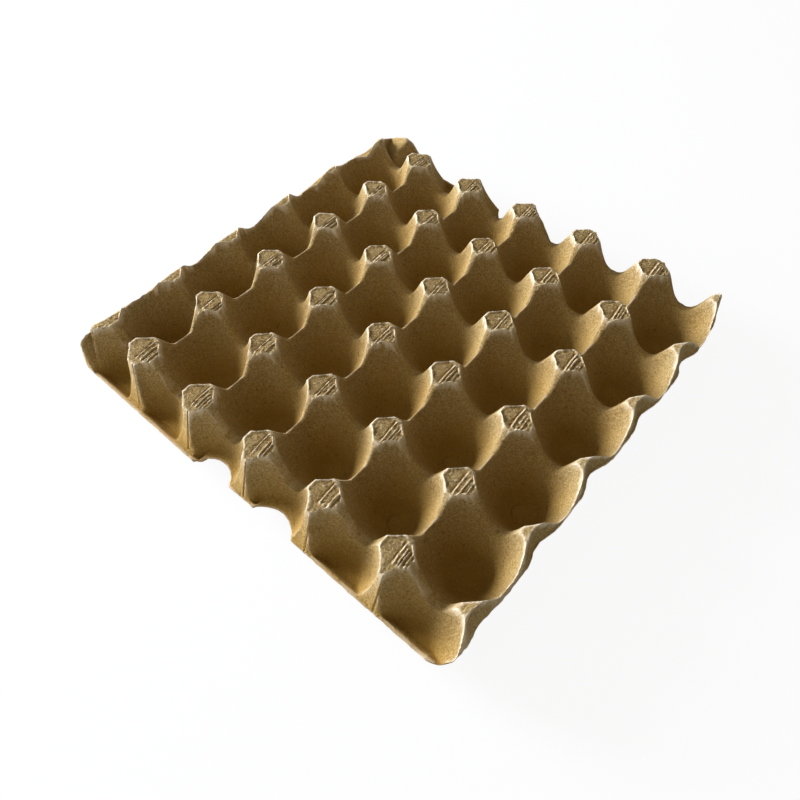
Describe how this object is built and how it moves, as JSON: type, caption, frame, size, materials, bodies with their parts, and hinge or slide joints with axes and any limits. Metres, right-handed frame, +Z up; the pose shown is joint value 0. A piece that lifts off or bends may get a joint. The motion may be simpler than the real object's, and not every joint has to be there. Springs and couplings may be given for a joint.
{
  "type": "pulp egg tray",
  "caption": "Square moulded pulp tray with a grid of round egg cups, hollow posts between the cups, low long edges and finger notches.",
  "frame": {"origin": "on the table under the middle of the tray, in the plane of the cups' feet", "axes": "+Z up, out of the cups; +X along a row of six cups; +Y along a column of five cups, with the low notched edges at both Y ends"},
  "size_m": [0.294, 0.294, 0.043],
  "materials": {
    "pulp": "matte moulded pulp"
  },
  "bodies": {
    "root": {"egg_tray": "pulp"}
  },
  "joints": []
}
